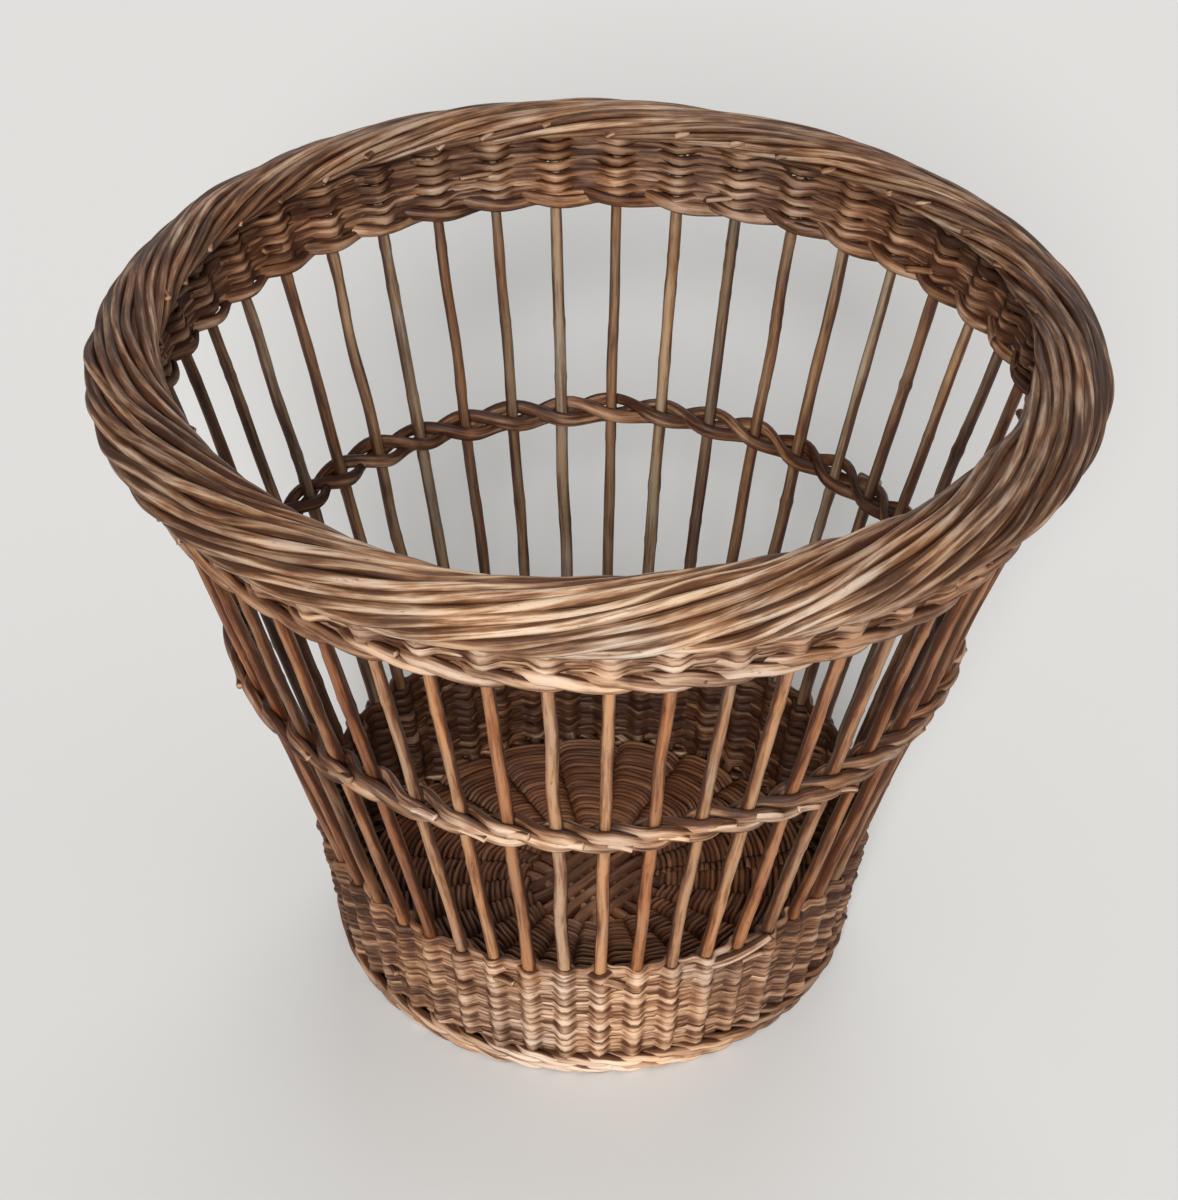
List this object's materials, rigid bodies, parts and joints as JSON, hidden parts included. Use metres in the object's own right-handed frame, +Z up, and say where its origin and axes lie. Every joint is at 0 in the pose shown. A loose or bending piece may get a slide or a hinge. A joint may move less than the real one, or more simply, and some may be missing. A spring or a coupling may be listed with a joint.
{
  "type": "wicker waste basket",
  "caption": "Open round waste basket: upright willow stakes flare from a woven base to a thick laid border, held by two woven bands and rounds of three-rod waling.",
  "frame": {"origin": "on the floor, under the middle of the basket", "axes": "+Z up through the mouth; -Y is the front, where the stakes stand a little closer; +X is on the right seen from the front"},
  "size_m": [0.3389, 0.339, 0.2568],
  "materials": {
    "willow_tan": "peeled and browned willow, matt to silky",
    "willow_brown": "browned willow, matt",
    "willow_grey": "weathered willow, matt",
    "band_weave": "thin browned willow, closely woven",
    "border_rods": "peeled willow rods, silky",
    "base_willow": "dark willow, matt"
  },
  "bodies": {
    "root": {"stake_01": "willow_tan", "stake_02": "willow_brown", "stake_03": "willow_grey", "stake_04": "willow_tan", "stake_05": "willow_brown", "stake_06": "willow_grey", "stake_07": "willow_tan", "stake_08": "willow_brown", "stake_09": "willow_grey", "stake_10": "willow_tan", "stake_11": "willow_brown", "stake_12": "willow_grey", "stake_13": "willow_tan", "stake_14": "willow_brown", "stake_15": "willow_grey", "stake_16": "willow_tan", "stake_17": "willow_brown", "stake_18": "willow_grey", "stake_19": "willow_tan", "stake_20": "willow_brown", "stake_21": "willow_grey", "stake_22": "willow_tan", "stake_23": "willow_brown", "stake_24": "willow_grey", "stake_25": "willow_tan", "stake_26": "willow_brown", "stake_27": "willow_grey", "stake_28": "willow_tan", "stake_29": "willow_brown", "stake_30": "willow_grey", "stake_31": "willow_tan", "stake_32": "willow_brown", "stake_33": "willow_grey", "stake_34": "willow_tan", "stake_35": "willow_brown", "stake_36": "willow_grey", "stake_37": "willow_tan", "stake_38": "willow_brown", "stake_39": "willow_grey", "stake_40": "willow_tan", "stake_41": "willow_brown", "stake_42": "willow_grey", "stake_43": "willow_tan", "stake_44": "willow_brown", "stake_45": "willow_grey", "slit_sticks": "base_willow", "through_sticks": "base_willow", "base_weave": "base_willow", "low_band": "band_weave", "mid_wale_a": "border_rods", "mid_wale_b": "border_rods", "mid_wale_c": "border_rods", "upper_wale_a": "border_rods", "upper_wale_b": "border_rods", "upper_wale_c": "border_rods", "upper_band": "band_weave", "border": "border_rods"}
  },
  "joints": []
}
